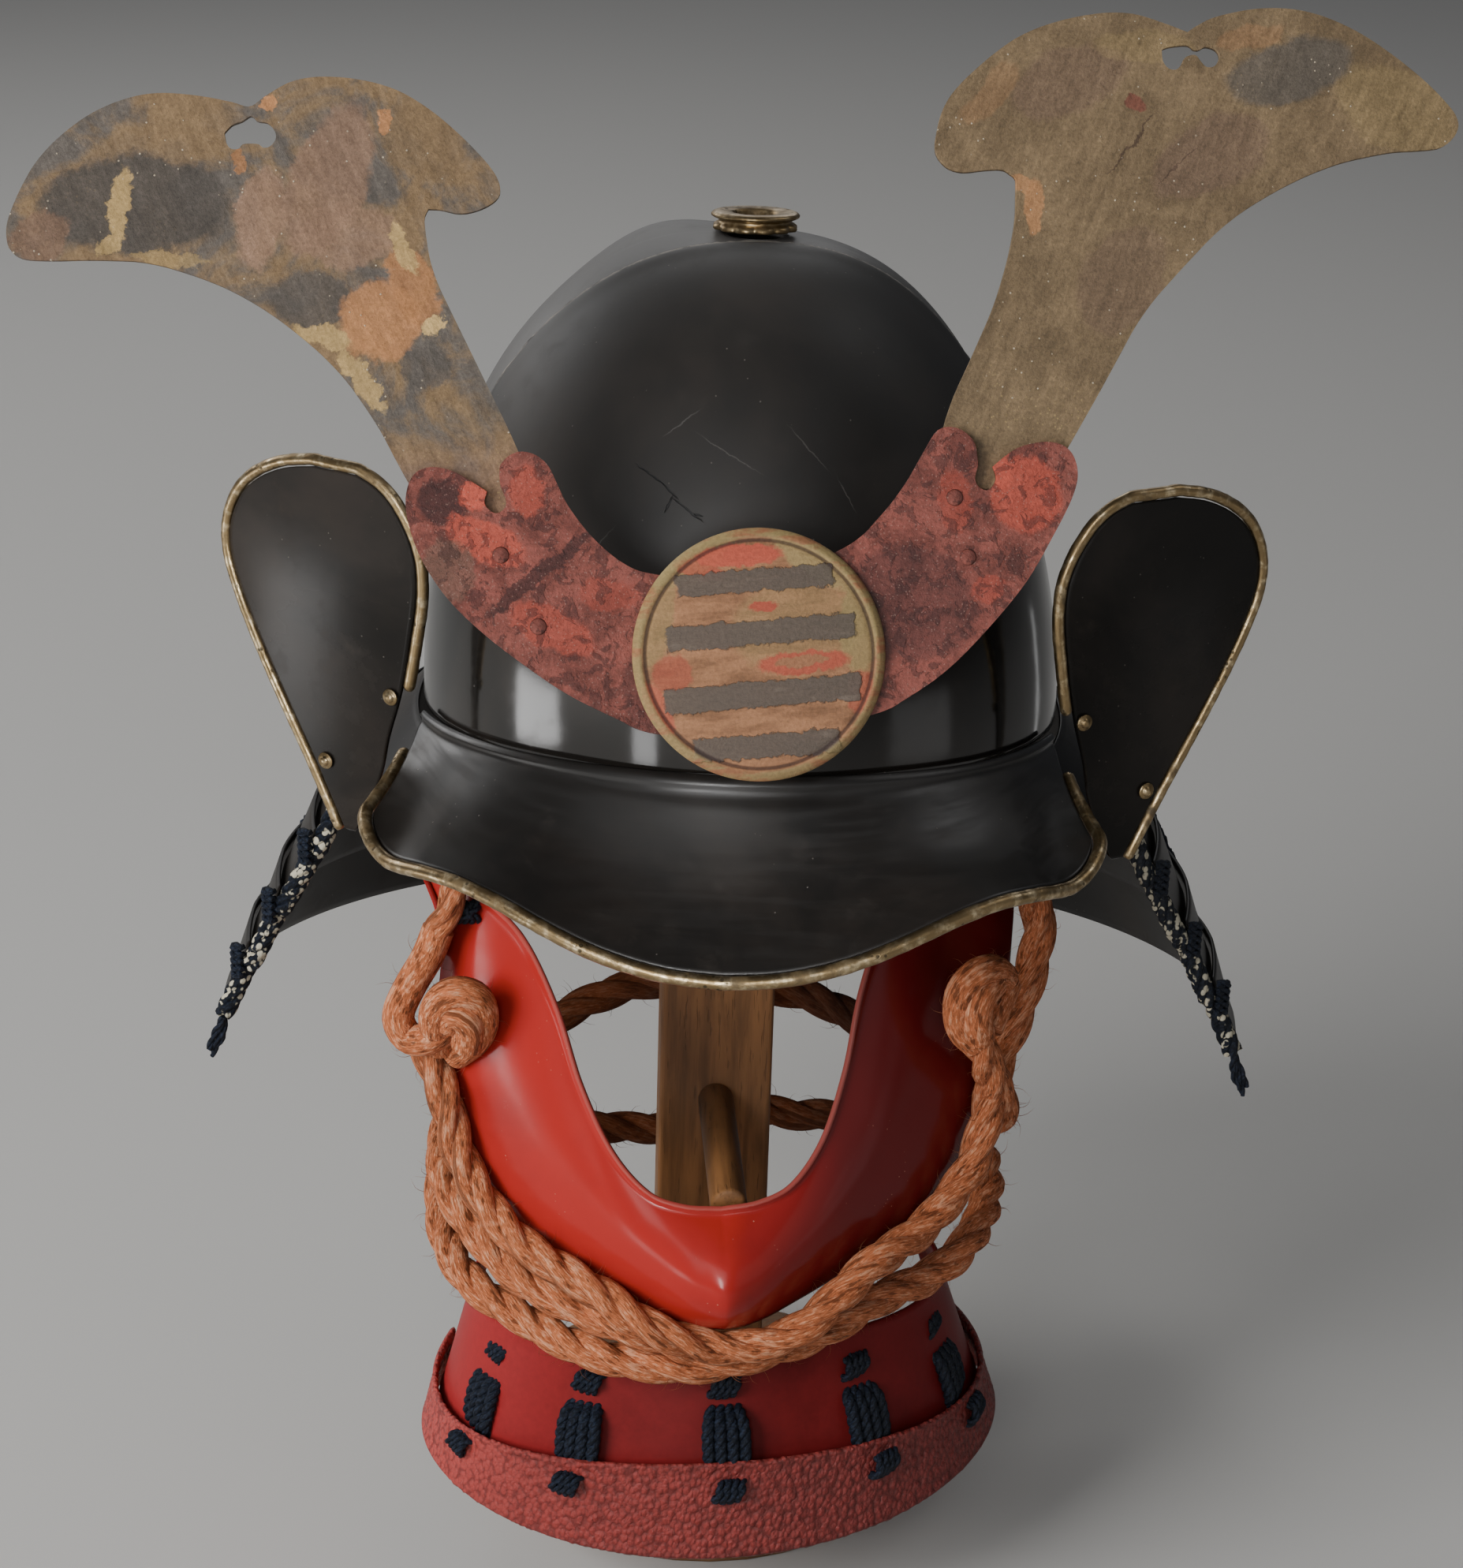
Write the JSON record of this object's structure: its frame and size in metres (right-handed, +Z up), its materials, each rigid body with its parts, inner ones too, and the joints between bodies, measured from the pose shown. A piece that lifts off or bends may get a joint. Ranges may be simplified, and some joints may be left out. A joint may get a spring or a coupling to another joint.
{
  "type": "samurai helmet with half face guard on a wooden stand",
  "caption": "Lacquered samurai helmet with horned crest, turned-back side plates, laced neck guard, red half face guard, throat guard and chin rope, on a plain wooden stand.",
  "frame": {"origin": "on the floor under the middle of the stand's post", "axes": "+Z up, the helmet's front looks along -Y, +X to the viewer's right"},
  "size_m": [0.4447, 0.3716, 0.5789],
  "materials": {
    "lacquer": "black-brown lacquer over iron, semi-gloss, worn",
    "brass": "aged, patinated, brighter on the rubbed edges",
    "hornLeft": "patchwork of slate grey, brown and ochre tarnish",
    "hornRight": "olive-brown tarnish with a fibrous grain",
    "arm": "rough crimson lacquer, pitted and worn",
    "disc": "worn tan gilding over red lacquer with four grey bars",
    "iron": "dark iron, satin",
    "vermilion": "glossy vermilion lacquer",
    "maroon": "dull maroon lacquer",
    "pebbled": "pebbled red lacquer",
    "navy": "navy braided silk",
    "cord": "orange twisted hemp rope, fuzzy",
    "wood": "plain warm brown wood with a straight grain"
  },
  "bodies": {
    "root": {"bowl": "lacquer", "tehen_ring": "brass", "brim": "lacquer", "brim_rim": "brass", "fukigaeshi_left": "lacquer", "fukigaeshi_rim_left": "brass", "rivet_left_upper": "brass", "rivet_left_lower": "brass", "fukigaeshi_right": "lacquer", "fukigaeshi_rim_right": "brass", "rivet_right_upper": "brass", "rivet_right_lower": "brass", "neck_lame_1": "lacquer", "neck_lame_2": "lacquer", "neck_lame_3": "lacquer", "neck_lame_4": "lacquer", "neck_lame_5": "lacquer", "neck_lace_1": "navy", "neck_lace_2": "navy", "neck_lace_3": "navy", "neck_lace_4": "navy", "neck_lace_5": "navy", "neck_lace_6": "navy", "neck_lace_7": "navy", "edge_braid_left": "navy", "edge_braid_right": "navy", "horn_left": "hornLeft", "crest_arm_left": "arm", "horn_right": "hornRight", "crest_arm_right": "arm", "crest_disc": "disc", "crest_hook": "iron", "mask": "vermilion", "throat_lame_upper": "maroon", "throat_lame_lower": "pebbled", "throat_lace_1": "navy", "throat_lace_2": "navy", "throat_lace_3": "navy", "throat_lace_4": "navy", "throat_lace_5": "navy", "chin_cord": "cord", "stand_base": "wood", "stand_post": "wood", "stand_top": "wood", "stand_peg": "wood"}
  },
  "joints": []
}
